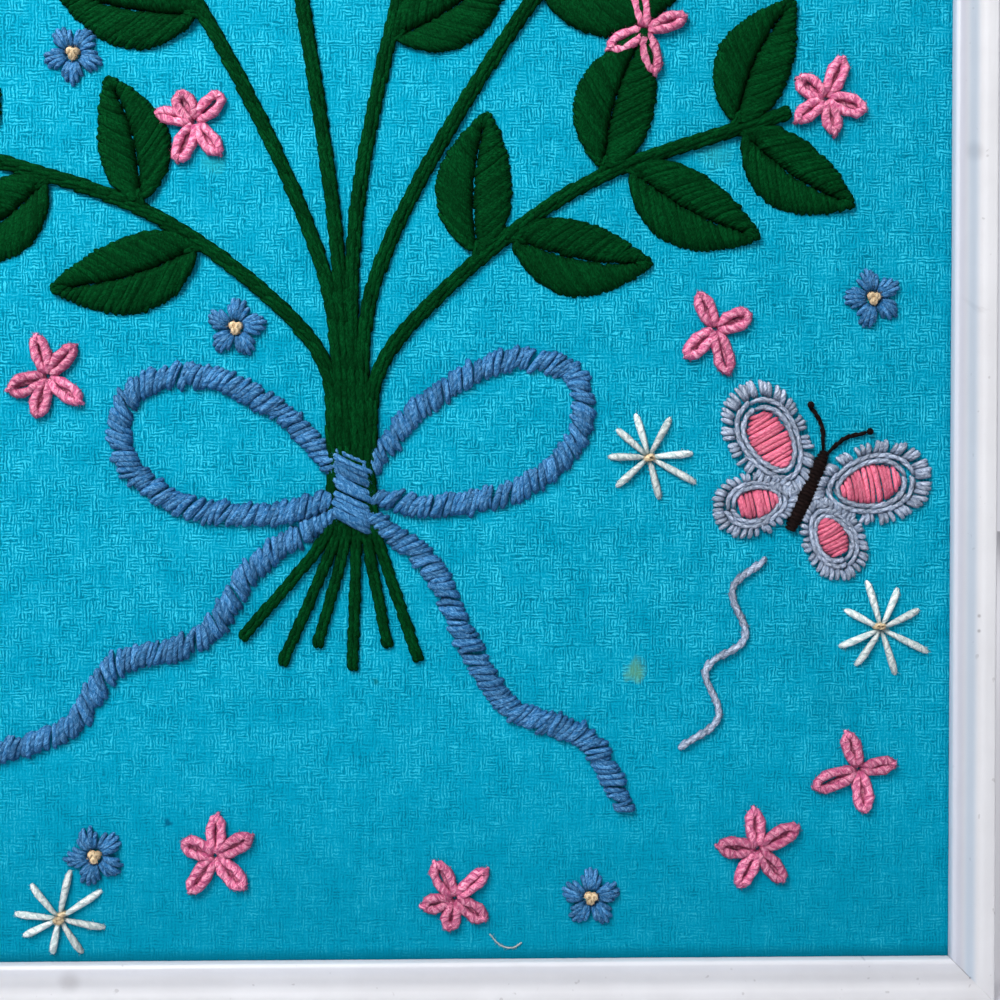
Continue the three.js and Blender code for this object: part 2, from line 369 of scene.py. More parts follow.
t.links.new(math_node(t, "MULTIPLY_ADD", fine, 0.35, cloudy), paint_out.inputs["Height"])
print("group:", paint_group.name)

# %% White paint and board materials
white_paint, tree, shader = principled("white_paint", 0.45)
coat = add_node(tree, "ShaderNodeGroup", {"node_tree": paint_group},
                {"Paint": rgb(225, 225, 227), "Grime": rgb(150, 146, 146), "Bare Wood": rgb(196, 164, 122)})
# u, v, radius in mm and strength of single marks on the paint
MARKS = [(139.8, 8.7, 2.6, 0.35), (141.6, -95.9, 0.5, 0.6), (141.6, -99.3, 0.5, 0.6),
         (115.8, -173.6, 0.4, 0.6), (-63.0, -177.3, 3.0, 0.30), (139.9, -178.0, 0.35, 0.8)]
marks_and_shade = coat.outputs["Colour"]
paint_spot = add_node(tree, "ShaderNodeTexCoord").outputs["Object"]
paint_axes = add_node(tree, "ShaderNodeSeparateXYZ", None, {0: paint_spot})
flat_spot = add_node(tree, "ShaderNodeCombineXYZ", None,
                     {0: paint_axes.outputs[0], 1: paint_axes.outputs[2]}).outputs[0]
for u, v, radius, strength in MARKS:
    middle = Vector((u, v + CENTRE_Z, 0)) * MM
    away = add_node(tree, "ShaderNodeVectorMath", {"operation": "DISTANCE"}, {0: flat_spot, 1: middle})
    mask = smooth_range(tree, away.outputs["Value"], radius * MM * 0.2, radius * MM * 1.2, strength, 0.0)
    marks_and_shade = mix_colour(tree, mask, marks_and_shade, rgb(132, 126, 126))
# The mitre joints show as a fine line on the bead only; further out the paint has filled them
out_u = math_node(tree, "SUBTRACT", math_node(tree, "ABSOLUTE", paint_axes.outputs[0]), SIGHT_WIDTH / 2 * MM)
from_middle = math_node(tree, "SUBTRACT", paint_axes.outputs[2], CENTRE_Z * MM)
out_v = math_node(tree, "SUBTRACT", math_node(tree, "ABSOLUTE", from_middle), SIGHT_HEIGHT / 2 * MM)
off_mitre = math_node(tree, "ABSOLUTE", math_node(tree, "SUBTRACT", out_u, out_v))
on_line = smooth_range(tree, off_mitre, 0.05 * MM, 0.22 * MM, 0.75, 0.0)
on_bead = smooth_range(tree, out_u, 3.4 * MM, 4.6 * MM, 1.0, 0.0)
marks_and_shade = mix_colour(tree, math_node(tree, "MULTIPLY", on_line, on_bead), marks_and_shade, rgb(110, 102, 100))
# Every bead gets a painted bluish shade, strongest on the side rails, and the side rails' hollows get a
# painted bluish reflection
on_side_rail = math_node(tree, "GREATER_THAN", out_u, out_v)
painted_hollow_tint = math_node(tree, "MULTIPLY", smooth_range(tree, out_u, 1.8 * MM, 3.6 * MM, 0.0, 0.45),
                      smooth_range(tree, out_u, 4.4 * MM, 6.2 * MM, 1.0, 0.0))
out_most = math_node(tree, "MAXIMUM", out_u, out_v)
on_lip = smooth_range(tree, out_most, 1.4 * MM, 3.2 * MM, 0.7, 0.0)
painted_bead_shade = math_node(tree, "MULTIPLY", on_lip, math_node(tree, "MULTIPLY_ADD", on_side_rail, 0.6, 0.4))
marks_and_shade = mix_colour(tree, painted_bead_shade, marks_and_shade, rgb(190, 194, 208))
marks_and_shade = mix_colour(tree, math_node(tree, "MULTIPLY", on_side_rail, painted_hollow_tint), marks_and_shade, rgb(176, 206, 230))
tree.links.new(marks_and_shade, shader.inputs["Base Color"])
tree.links.new(coat.outputs["Roughness"], shader.inputs["Roughness"])
coat_relief = add_node(tree, "ShaderNodeBump", None, {"Height": coat.outputs["Height"], "Distance": 0.0001})
coat_relief.inputs["Strength"].default_value = 0.5
tree.links.new(coat_relief.outputs[0], shader.inputs["Normal"])

grey_board, tree, shader = principled("grey_board", 0.9)
board_place = add_node(tree, "ShaderNodeTexCoord").outputs["Object"]
pulp = noise(tree, board_place, 700.0, 5.0, 0.7)
blotch = noise(tree, board_place, 22.0, 3.0, 0.6)
board_tone = mix_colour(tree, smooth_range(tree, pulp, 0.35, 0.7), rgb(150, 138, 118), rgb(186, 174, 152))
board_tone = mix_colour(tree, smooth_range(tree, blotch, 0.4, 0.75, 0.0, 0.35), board_tone, rgb(132, 116, 92))
tree.links.new(board_tone, shader.inputs["Base Color"])
board_relief = add_node(tree, "ShaderNodeBump", None, {"Height": pulp, "Distance": 0.00015})
tree.links.new(board_relief.outputs[0], shader.inputs["Normal"])
board_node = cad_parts["mount_board"]
board_node.data.materials.clear()
board_node.data.materials.append(grey_board)
print("materials:", white_paint.name, grey_board.name)

# %% [markdown]
# ## The mitred frame
# A framer cuts four lengths from one moulding, each end at 45 degrees. By hand in Blender that is: draw the
# section by pushing a single point along it, fill it, draw it out along the rail, cut both ends with a
# slanting plane, and soften the cut edges. The same function makes all four, turned about the middle of the
# picture.

# %% Section of the moulding


def bezier(start, *handles):
    """Points on a Bezier curve of any order, without its first point."""
    knots = np.array((start,) + handles, float)
    made = []
    for share in np.linspace(0, 1, 11)[1:]:
        level = knots
        while len(level) > 1:
            level = level[:-1] * (1 - share) + level[1:] * share
        made.append(tuple(level[0]))
    return made


REBATE_WALL = LIP_OVERLAP + 0.3
REBATE_HEIGHT, LIP_EDGE_HEIGHT = 16.1, 18.3
BEAD_OUT, BEAD_ROLL = 0.9, 2.5
GROOVE_OUT, GROOVE_HEIGHT, GROOVE_ROLL = 5.6, 18.2, 1.3
FLAT_OUT, FLAT_HEIGHT, OUTER_ROUND = 8.0, 18.42, 0.7
section = [(REBATE_WALL, 0.0), (FACE_WIDTH, 0.0), (FACE_WIDTH, FLAT_HEIGHT - OUTER_ROUND)]
section += bezier(section[-1], (FACE_WIDTH, FLAT_HEIGHT), (FACE_WIDTH - OUTER_ROUND, FLAT_HEIGHT))
section += [(FLAT_OUT, FLAT_HEIGHT)]
section += bezier(section[-1], (FLAT_OUT - GROOVE_ROLL, FLAT_HEIGHT),
                  (GROOVE_OUT + GROOVE_ROLL, GROOVE_HEIGHT), (GROOVE_OUT, GROOVE_HEIGHT))
section += bezier(section[-1], (GROOVE_OUT - GROOVE_ROLL, GROOVE_HEIGHT),
                  (BEAD_OUT + BEAD_ROLL, FRAME_DEPTH), (BEAD_OUT, FRAME_DEPTH))
section += bezier(section[-1], (BEAD_OUT / 2, FRAME_DEPTH), (0.0, FLAT_HEIGHT), (0.0, LIP_EDGE_HEIGHT))
section += [(0.0, REBATE_HEIGHT), (REBATE_WALL, REBATE_HEIGHT)]
print("section points:", len(section))

# %% Cut the four rails
RAIL_STEPS = 48
MITRE_GAP = 0.02
uneven_coat = bpy.data.textures.new("uneven_coat", "CLOUDS")
uneven_coat.noise_scale = 0.012


def apply_modifiers(piece):
    bpy.context.view_layer.objects.active = piece
    for modifier in list(piece.modifiers):
        bpy.ops.object.modifier_apply(modifier=modifier.name)


def cut_rail(name, half_length, half_across, turn):
    bpy.ops.object.select_all(action="DESELECT")
    bpy.ops.mesh.primitive_plane_add(size=MM)
    piece = bpy.context.object
    piece.name = name
    reach = half_length + FACE_WIDTH + 1.0
    places = [Vector((-reach, BACK_Y - high, CENTRE_Z - half_across - out)) * MM for out, high in section]
    bpy.ops.object.mode_set(mode="EDIT")
    bpy.ops.mesh.merge(type="CENTER")
    bpy.ops.transform.translate(value=places[0])
    for here, there in zip(places, places[1:]):
        bpy.ops.mesh.extrude_region_move(TRANSFORM_OT_translate={"value": there - here})
    bpy.ops.mesh.select_all(action="SELECT")
    bpy.ops.mesh.edge_face_add()
    stride = Vector((2 * reach * MM / RAIL_STEPS, 0, 0))
    for _ in range(RAIL_STEPS):
        bpy.ops.mesh.extrude_region_move(TRANSFORM_OT_translate={"value": stride})
    bpy.ops.mesh.select_all(action="SELECT")
    bpy.ops.mesh.normals_make_consistent(inside=False)
    for side in (-1, 1):
        corner = Vector((side * (half_length - MITRE_GAP), 0, CENTRE_Z - half_across)) * MM
        bpy.ops.mesh.select_all(action="SELECT")
        bpy.ops.mesh.bisect(plane_co=corner, plane_no=(side, 0, 1), use_fill=True, clear_outer=True)
    bpy.ops.mesh.select_all(action="SELECT")
    bpy.ops.transform.rotate(value=turn, orient_axis="Y", center_override=(0, 0, CENTRE_Z * MM))
    bpy.ops.mesh.normals_make_consistent(inside=False)
    bpy.ops.object.mode_set(mode="OBJECT")
    bpy.ops.object.transform_apply(location=True, rotation=True, scale=True)
    soften = piece.modifiers.new("soften", "BEVEL")
    soften.width = 0.06 * MM
    soften.segments = 2
    soften.limit_method = "ANGLE"
    soften.angle_limit = math.radians(40)
    thickness = piece.modifiers.new("coat", "DISPLACE")
    thickness.texture = uneven_coat
    thickness.texture_coords = "LOCAL"
    thickness.strength = 0.10 * MM
    apply_modifiers(piece)
    bpy.ops.object.shade_smooth_by_angle(angle=math.radians(35))
    piece.data.materials.append(white_paint)
    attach(piece, "root")
    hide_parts(name.replace("painted_", ""))
    return piece


rails = [
    cut_rail("painted_rail_bottom", SIGHT_WIDTH / 2, SIGHT_HEIGHT / 2, 0),
    cut_rail("painted_rail_left", SIGHT_HEIGHT / 2, SIGHT_WIDTH / 2, -math.pi / 2),
    cut_rail("painted_rail_top", SIGHT_WIDTH / 2, SIGHT_HEIGHT / 2, math.pi),
    cut_rail("painted_rail_right", SIGHT_HEIGHT / 2, SIGHT_WIDTH / 2, math.pi / 2),
]
for piece in rails:
    low = np.array([v.co for v in piece.data.vertices]).min(0) / MM
    high = np.array([v.co for v in piece.data.vertices]).max(0) / MM
    print(piece.name, low.round(1), high.round(1))

# %% [markdown]
# ## Strands of wool
# Crewel work is made of some thousands of stitches, each a short length of yarn that comes up through the
# cloth, lies over it and goes down again. Modelling them one by one by hand isn't practical, so each stitch
# is kept as a path with a width, and a whole colour is joined into one mesh from arrays. A strand is a six-
# sided tube: it is rounded by smooth shading, and its ends sink through the cloth, closed.

# %% One mesh from many strands
SIDES = 6
RING = 2 * math.pi * np.arange(SIDES) / SIDES
FIRST_CAP = np.array([(0, 1, 2, 5), (2, 3, 4, 5)])
LAST_CAP = FIRST_CAP[:, ::-1]
entry_points = []
CREST_UV = (0.25, 0.3)


def lay(skein, path, width, flat=0.8):
    """Adds a strand. Path holds (u, v, height) points in mm, and width is its width at each of them."""
    path = np.asarray(path, float)
    skein.append((path, np.broadcast_to(np.asarray(width, float), len(path)), flat, dice.random()))
    entry_points.extend([path[0, :2], path[-1, :2]])


def directions(path):
    """Unit vectors along a path, to its side and up from it."""
    along = np.gradient(path, axis=0)
    along /= np.linalg.norm(along, axis=1, keepdims=True)
    side = np.cross(along, (0.0, 0.0, 1.0))
    side /= np.linalg.norm(side, axis=1, keepdims=True)
    return along, side, np.cross(side, along)


def strand_mesh(path, width, flat):
    """Corners, faces and UVs of one tube along a path."""
    rings = len(path)
    along, side, lift = directions(path)
    half = (width / 2)[:, None, None]
    corners = path[:, None] + half * (np.cos(RING)[None, :, None] * side[:, None]
                                      + flat * np.sin(RING)[None, :, None] * lift[:, None])
    ring, step = np.meshgrid(np.arange(rings - 1), np.arange(SIDES), indexing="ij")
    following = (step + 1) % SIDES
    faces = np.stack([ring * SIDES + step, (ring + 1) * SIDES + step,
                      (ring + 1) * SIDES + following, ring * SIDES + following], -1).reshape(-1, 4)
    far = np.concatenate([[0], np.cumsum(np.linalg.norm(np.diff(path, axis=0), axis=1))])
    round_uv = np.stack([step, step, step + 1, step + 1], -1).reshape(-1, 4) / SIDES
    along_uv = far[np.stack([ring, ring + 1, ring + 1, ring], -1).reshape(-1, 4)]
    caps = np.concatenate([FIRST_CAP, LAST_CAP + (rings - 1) * SIDES])
    cap_uv = np.stack([(caps % SIDES) / SIDES, far[caps // SIDES]], -1)
    uvs = np.concatenate([np.stack([round_uv, along_uv], -1), cap_uv])
    return corners.reshape(-1, 3), np.concatenate([faces, caps]), uvs


# A loose fibre is a thin closed spike on a three-cornered base
SPIKE_FACES = np.array([(0, 2, 1), (0, 1, 3), (1, 2, 3), (2, 0, 3)])
SPIKE_BASE = 0.04


def unit(vectors):
    return vectors / np.linalg.norm(vectors, axis=-1, keepdims=True)


def loose_fibres(path, width, flat, per_mm):
    """Short fibres that stand out of a strand's sides and top, as corners and faces."""
    length = np.linalg.norm(np.diff(path, axis=0), axis=1).sum()
    count = dice.poisson(length * per_mm)
    along, side, lift = directions(path)
    ring = dice.integers(1, len(path) - 1, count)
    angle = dice.uniform(-0.3, math.pi + 0.3, (count, 1))
    round_it = np.cos(angle) * side[ring]
    over_it = np.sin(angle) * lift[ring]
    slide = (path[ring + 1] - path[ring]) * dice.uniform(-0.6, 0.6, (count, 1))
    root = path[ring] + slide + 0.42 * width[ring, None] * (round_it + flat * over_it)
    aim = round_it + over_it + along[ring] * dice.uniform(-1.4, 1.4, (count, 1))
    aim = aim + dice.normal(0, 0.35, (count, 3))
    tip = root + aim * dice.uniform(0.2, 0.6, (count, 1))
    cross = unit(np.cross(aim, (0.3, 0.5, 0.8)))
    other = unit(np.cross(aim, cross))
    arms = [cross, -0.5 * cross + 0.87 * other, -0.5 * cross - 0.87 * other]
    corners = np.stack([root + SPIKE_BASE * arm for arm in arms] + [tip], 1)
    faces = SPIKE_FACES + 4 * np.arange(count)[:, None, None]
    return corners.reshape(-1, 3), faces.reshape(-1, 3)


def to_frame(points):
    """Picture millimetres (u, v, height over the cloth) to metres in the frame."""
    points = np.asarray(points, float)
    return np.stack([points[:, 0], CLOTH_Y - points[:, 2], points[:, 1] + CENTRE_Z], -1) * MM


def uneven_by(amount, size=2):
    return dice.normal(0, amount, size)


def work(name, skein, material, fuzz=1.0):
    """Joins a skein of strands, with fuzz loose fibres to the millimetre, into one piece."""
    all_corners, quads, spikes, quad_uvs, tones = [], [], [], [], []
    count = 0
    for path, width, flat, tone in skein:
        corners, faces, uvs = strand_mesh(path, width, flat)
        fibre_corners, fibre_faces = loose_fibres(path, width, flat, fuzz)
        all_corners += [corners, fibre_corners]
        quads.append(faces + count)
        spikes.append(fibre_faces + count + len(corners))
        quad_uvs.append(uvs)
        tones.append(np.full(len(corners) + len(fibre_corners), tone))
        count += len(corners) + len(fibre_corners)
    quads, spikes = np.concatenate(quads), np.concatenate(spikes)
    mesh = bpy.data.meshes.new(name)
    mesh.from_pydata(to_frame(np.concatenate(all_corners)).tolist(), [], quads.tolist() + spikes.tolist())
    spike_uvs = np.tile(CREST_UV, 3 * len(spikes))
    uvs = np.concatenate([np.concatenate(quad_uvs).ravel(), spike_uvs])
    mesh.uv_layers.new(name="strand").data.foreach_set("uv", uvs)
    mesh.attributes.new("tone", "FLOAT", "POINT").data.foreach_set("value", np.concatenate(tones))
    mesh.shade_smooth()
    mesh.materials.append(material)
    piece = bpy.data.objects.new(name, mesh)
    bpy.context.scene.collection.objects.link(piece)
    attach(piece, "root")
    print(name, len(skein), "strands,", 2 * len(quads) + len(spikes), "triangles")
    return piece


print("strand tools ready")

# %% [markdown]
# ## The stitches
# Few stitches make the whole picture. A straight stitch is a strand that rises out of the cloth, lies, and
# sinks. Satin stitch sets them side by side across a shape, stem stitch overlaps them along a line like a
# rope, and a detached chain is one loop held down at its tip, which makes a petal. A little unevenness in
# each is what makes it look sewn by hand.

# %% Straight, satin and stem stitch
STITCH_SHARES = np.array([0.0, 0.05, 0.16, 0.38, 0.62, 0.84, 0.95, 1.0])


def stitch(skein, start, end, width=1.3, rise=0.55, bow=0.0, sink=0.5, flat=0.8, ends=0.42):
    """One straight stitch, its middle at height rise over the cloth, its ends narrower by a share."""
    start, end = np.asarray(start, float), np.asarray(end, float)
    run = end - start
    length = max(np.hypot(*run), 0.2)
    side = np.array([-run[1], run[0]]) / length
    shares = STITCH_SHARES[:, None]
    arch = 1 - np.abs(2 * shares - 1) ** (2.6 + length / 3)
    plan = start + run * shares + side * bow * np.sin(math.pi * shares)
    path = np.concatenate([plan, -sink + (rise + sink) * arch], 1)
    lay(skein, path, width * (ends + (1 - ends) * arch[:, 0] ** 0.6), flat)


def smooth_line(knots, steps=24):
    """A Catmull-Rom line of points through the knots."""
    knots = np.asarray(knots, float)
    ends = np.vstack([2 * knots[0] - knots[1], knots, 2 * knots[-1] - knots[-2]])
    share = np.linspace(0, 1, steps, endpoint=False)[:, None]
    made = []
    for a, b, c, d in zip(ends, ends[1:], ends[2:], ends[3:]):
        made.append(0.5 * (2 * b + (c - a) * share + (2 * a - 5 * b + 4 * c - d) * share**2
                           + (3 * b - a - 3 * c + d) * share**3))
    return np.vstack(made + [knots[-1:]])


def at(line, distance):
    """Place and direction at a distance in mm along a line."""
    steps = np.linalg.norm(np.diff(line, axis=0), axis=1)
    far = np.concatenate([[0], np.cumsum(steps)])
    distance = np.clip(distance, 0, far[-1])
    i = min(np.searchsorted(far, distance, side="right") - 1, len(steps) - 1)
    run = (line[i + 1] - line[i]) / max(steps[i], 1e-6)
    return line[i] + run * (distance - far[i]), run


def length_of(line):
    return np.linalg.norm(np.diff(line, axis=0), axis=1).sum()


def left_of(run):
    return np.array([-run[1], run[0]])


def heading(angle):
    return np.array([math.cos(angle), math.sin(angle)])


def stem_stitch(skein, line, width=1.5, length=5.4, rise=0.6, slant=0.32, offset=0.0):
    """A rope of slanting stitches, each starting halfway back along the one before."""
    total = length_of(line)
    distance = 0.0
    while distance < total - 0.8:
        here, run_here = at(line, distance)
        there, run_there = at(line, min(distance + length, total))
        start = here + left_of(run_here) * (offset - slant * width)
        end = there + left_of(run_there) * (offset + slant * width)
        middle, run_middle = at(line, distance + length / 2)
        off_chord = middle + left_of(run_middle) * offset - (start + end) / 2
        bow = np.dot(off_chord, left_of((end - start) / length))
        stitch(skein, start + uneven_by(0.08), end + uneven_by(0.08), width,
               rise + uneven_by(0.05, None), bow)
        distance += length * 0.5


def satin_band(skein, line, breadth, width=1.35, gap=0.8, slant=0.5, rise=0.9):
    """Slanting satin stitches across a band; breadth is a function of the share of its length."""
    total = length_of(line)
    for distance in np.arange(0.4, total, gap):
        here, run = at(line, distance)
        half = breadth(distance / total) / 2
        across = left_of(run) * half + run * half * slant
        stitch(skein, here + across + uneven_by(0.36), here - across + uneven_by(0.36),
               width + uneven_by(0.16, None), rise + uneven_by(0.2, None), uneven_by(0.25, None), ends=0.6)


def satin_oval(skein, centre, half_long, half_wide, turn, width=1.1, gap=0.92, rise=0.75):
    """Satin stitches across an oval, its long axis turned by an angle."""
    along = heading(turn)
    side = left_of(along)
    for distance in np.arange(-half_long + 0.5, half_long - 0.3, gap):
        half = half_wide * math.sqrt(max(0.0, 1 - (distance / half_long) ** 2))
        here = np.asarray(centre) + along * distance
        stitch(skein, here - side * half + uneven_by(0.16), here + side * half + uneven_by(0.16),
               width + uneven_by(0.07, None), rise + uneven_by(0.08, None), uneven_by(0.14, None))


print("straight, satin and stem stitch ready")

# %% Leaf, petal, star and knot


def leaf(skein, base, direction, length, breadth, bend=0.0, gap=0.62, width=1.45):
    """A leaf of close slanting stitches from a sunken vein out to an even edge, on both sides."""
    along = heading(direction)
    side = left_of(along)
    shares = np.linspace(0.0, 1.0, 50)
    half = breadth / 2 * np.maximum(0, np.sin(math.pi * shares**0.82)) ** 0.74

    def vein(share):
        return np.asarray(base) + along * length * share + side * bend * math.sin(math.pi * share)

    for hand in (-1, 1):
        outline = np.array([vein(share) + side * hand * out for share, out in zip(shares, half)])
        total = length_of(outline)
        for distance in np.arange(0.8, total - 0.2, gap):
            edge, run = at(outline, distance)
            reach = np.dot(edge - base, along) / length
            lag = 0.95 * np.interp(reach, shares, half) / length
            root = vein(min(max(reach - lag, 0.012), 0.96)) + side * hand * (0.2 + uneven_by(0.14, None))
            stitch(skein, root, edge + uneven_by(0.16), width + uneven_by(0.1, None),
                   0.95 + uneven_by(0.07, None), hand * (0.3 + uneven_by(0.14, None)), flat=0.62, ends=0.6)
    stitch(skein, vein(0.88), vein(1.01), width, 0.8)


def chain_petal(skein, centre, direction, length, breadth, width=2.1):
    """A detached chain: a loop of yarn tied down at its tip, over a flat strand that fills the loop."""
    along = heading(direction)
    side = left_of(along)
    rings = 17
    angle = np.linspace(0.05, 2 * math.pi - 0.05, rings)
    start = 0.9
    out = start + (length - start - width * 0.45) * np.sin(angle / 2) ** 2
    swing = (breadth - width) / 2 * np.sin(angle) * (0.62 + 0.38 * np.sin(angle / 2) ** 2) * 1.16
    lean = uneven_by(0.2, None)
    lumps = 1 + 0.13 * np.sin(angle * 6 + dice.uniform(0, 6)) + uneven_by(0.03, rings)
    plan = np.asarray(centre) + out[:, None] * along + (swing + lean * out / 4)[:, None] * side
    plan = plan + uneven_by(0.07, (rings, 2))
    arch = 1 - np.abs(angle / math.pi - 1) ** 9
    height = -0.5 + (0.85 + 0.5) * arch
    lay(skein, np.column_stack([plan, height]), width * (0.6 + 0.4 * arch) * lumps)
    tip = np.asarray(centre) + along * length + side * lean * length / 4
    stitch(skein, tip - along * 1.9, tip + along * 0.15 + uneven_by(0.12), width * 0.55, 1.35, sink=0.6)
    lining = np.asarray(centre) + along * length * np.linspace(0.2, 0.86, 6)[:, None]
    lay(skein, np.column_stack([lining, np.full(len(lining), 0.1)]), 1.5, 0.35)


def daisy(skein, centre, petals=5, turn=0.0, length=9.4, breadth=5.0):
    for petal in range(petals):
        chain_petal(skein, centre, turn + 2 * math.pi * petal / petals + uneven_by(0.12, None),
                    length * (1 + uneven_by(0.09, None)), breadth * (1 + uneven_by(0.08, None)))


def star(skein, centre, rays=8, turn=0.0, length=10.2):
    """Straight stitches out from one point, each thicker towards its outer end."""
    shares = np.array([0.0, 0.06, 0.2, 0.45, 0.72, 0.9, 0.97, 1.0])
    for ray in range(rays):
        out = heading(turn + 2 * math.pi * ray / rays + uneven_by(0.09, None))
        reach = length * (1 + uneven_by(0.09, None))
        plan = np.asarray(centre) + out * (0.4 + (reach - 0.4) * shares)[:, None]
        arch = 1 - np.abs(2 * shares - 1) ** 6
        lay(skein, np.column_stack([plan, -0.5 + (1.05 + 0.1 * (ray % 3)) * arch]),
            1.75 * (0.35 + 0.65 * arch) * (0.55 + 0.45 * np.minimum(1, shares * 1.6)))


def knot(skein, centre, radius=0.8, width=1.15):
    """A French knot: yarn wound round the needle and drawn down."""
    rings = 16
    angle = np.linspace(0, 3.4 * math.pi, rings)
    climb = np.linspace(0.35, 1.25, rings)
    climb[0] = climb[-1] = -0.3
    draw_in = radius * np.linspace(1.0, 0.55, rings)
    spin = np.column_stack([np.cos(angle), np.sin(angle)]) * draw_in[:, None]
    lay(skein, np.column_stack([np.asarray(centre) + spin, climb]), width, 0.9)


print("leaf, petal, star and knot ready")

# %% [markdown]
# ## The design
# The picture is a tied posy, a design that needlework has used for centuries: leafy stems gathered by a
# ribbon bow, with chain-stitch flowers, small round blue flowers, pale stars on the bare cloth, and a moth
# beside it. Colours and stitch sizes are those of the real piece. Everything is placed on the picture in
# millimetres.

# %% Stems and leaves
TIE = np.array([0.0, -66.0])
# offset in the bundle, then the points that each stem passes through
STEMS = [
    (-4.6, [(-9, -34), (-44, -6), (-92, 10)]),
    (-2.8, [(-7, -16), (-36, 44), (-70, 84)]),
    (-1.0, [(-4, -6), (-14, 62), (-22, 120)]),
    (0.8, [(1, -6), (14, 58), (27, 112)]),
    (2.6, [(6, -18), (36, 36), (72, 80)]),
    (4.4, [(10, -34), (50, 0), (99, 18)]),
]
FEET = [(-25, -101), (-16, -107), (-8, -103), (0, -108), (8, -103), (15, -106)]
stem_skein = []
stem_lines = []
for (offset, points), foot in zip(STEMS, FEET):
    line = smooth_line([TIE + (offset, -4), TIE + (offset * 0.9, 8)] + points)
    stem_lines.append(line)
    for row in (-0.85, 0.85, 0.0):
        stem_stitch(stem_skein, line, width=1.35, length=7.0, offset=row, rise=0.95 - 0.35 * abs(row))
    cut_end = smooth_line([TIE + (offset, 0), TIE + (offset * 1.3, -12), foot])
    for row in (-0.5, 0.5):
        stem_stitch(stem_skein, cut_end, width=1.35, offset=row)

# stem, share of its length, hand (1 left, -1 right), angle off the stem in degrees, length, breadth
LEAVES = [
    (0, 0.52, 1, 50, 33, 17), (0, 0.64, -1, 50, 28, 16), (0, 0.80, 1, 50, 30, 16), (0, 0.92, -1, 50, 28, 15),
    (1, 0.66, 1, 48, 32, 17), (1, 0.88, 1, 50, 29, 16), (1, 0.90, -1, 42, 28, 16),
    (2, 0.64, -1, 42, 31, 17), (2, 0.74, 1, 48, 31, 17), (2, 0.86, -1, 48, 29, 16), (2, 0.91, 1, 50, 29, 16),
    (3, 0.56, -1, 42, 31, 17), (3, 0.86, -1, 46, 31, 17), (3, 0.91, 1, 50, 27, 16),
    (4, 0.72, -1, 45, 33, 18), (4, 0.74, 1, 50, 31, 17), (4, 0.92, 1, 50, 29, 16),
    (5, 0.44, 1, 45, 31, 17), (5, 0.50, -1, 48, 31, 17), (5, 0.68, 1, 48, 32, 18), (5, 0.72, -1, 50, 32, 17),
    (5, 0.90, 1, 48, 30, 17), (5, 0.91, -1, 50, 29, 16),
]
low_leaves, high_leaves = [], []
for stem, share, hand, angle, length, breadth in LEAVES:
    base, run = at(stem_lines[stem], share * length_of(stem_lines[stem]))
    direction = math.atan2(run[1], run[0]) + hand * math.radians(angle)
    stalk = base + heading(direction) * 2.6
    for row in (-0.5, 0.5):
        stitch(stem_skein, base + left_of(heading(direction)) * row, stalk + heading(direction) * 2.5,
               1.3, 0.8)
    leaf(low_leaves if stalk[1] < 40 else high_leaves, stalk, direction, length, breadth, bend=hand * 1.8)
work("green_stems", stem_skein, green_wool, 0.7)
work("green_leaves_low", low_leaves, green_wool, 0.7)
work("green_leaves_high", high_leaves, green_wool, 0.7)

# %% Pink flowers
# u, v, petals, turn
DAISIES = [
    (-100, 13, 5, 0.3), (-77, 92, 6, 0.1), (-22, 130, 5, 0.5), (29, 122, 5, 0.9), (79, 89, 6, 0.4),
    (107, 21, 5, 0.0), (-35, 15, 5, 0.5), (82, -31, 4, 0.5), (-46, 112, 5, 0.7), (66, 36, 4, 0.3),
    (2, 92, 5, 1.0), (-68, -42, 5, 0.8),
    (-31, -150, 5, 0.3), (92, -149, 5, 0.5), (115, -131, 4, 0.2), (23, -160, 5, 0.9), (-102, -110, 5, 0.4),
]
pink_skein = []
for u, v, petals, turn in DAISIES:
    daisy(pink_skein, (u, v), petals, turn)
work("pink_flowers", pink_skein, pink_wool, 12.0)

# %% Blue ribbon and flowers
blue_skein = []


def ribbon(share):
    """Breadth of the ribbon in mm: a little narrower where it leaves the knot and at its end."""
    return 4.9 - 1.3 * math.exp(-((share / 0.08) ** 2)) - 1.2 * math.exp(-(((1 - share) / 0.05) ** 2))


LOOP = [(3, -64), (15, -50), (34, -40), (50, -44), (51, -58), (38, -69), (19, -72), (4, -69)]
for hand in (-1, 1):
    satin_band(blue_skein, smooth_line([(hand * u, v + 0.05 * hand * u) for u, v in LOOP]), ribbon)
RIGHT_TAIL = [(4, -73), (18, -85), (26, -102), (36, -117), (53, -124), (62, -140)]
LEFT_TAIL = [(-4, -73), (-22, -85), (-34, -101), (-53, -107), (-64, -121), (-84, -128)]
for tail in (RIGHT_TAIL, LEFT_TAIL):
    satin_band(blue_skein, smooth_line(tail), ribbon)
satin_band(blue_skein, smooth_line([(0, -60), (0, -66), (0, -75)]), lambda share: 9.5, rise=1.5)


def round_flower(centre, turn):
    """Five round petals, each a fan of straight stitches, about a cream middle."""
    for petal in range(5):
        for lean in (-0.4, -0.2, 0.0, 0.2, 0.4):
            out = heading(turn + 2 * math.pi * petal / 5 + lean)
            tip = np.asarray(centre) + out * (6.8 - 9.0 * lean**2)
            stitch(blue_skein, np.asarray(centre) + out * 1.7, tip + uneven_by(0.14), 1.25,
                   0.72 + 0.2 * math.cos(lean * 4) + uneven_by(0.05, None))


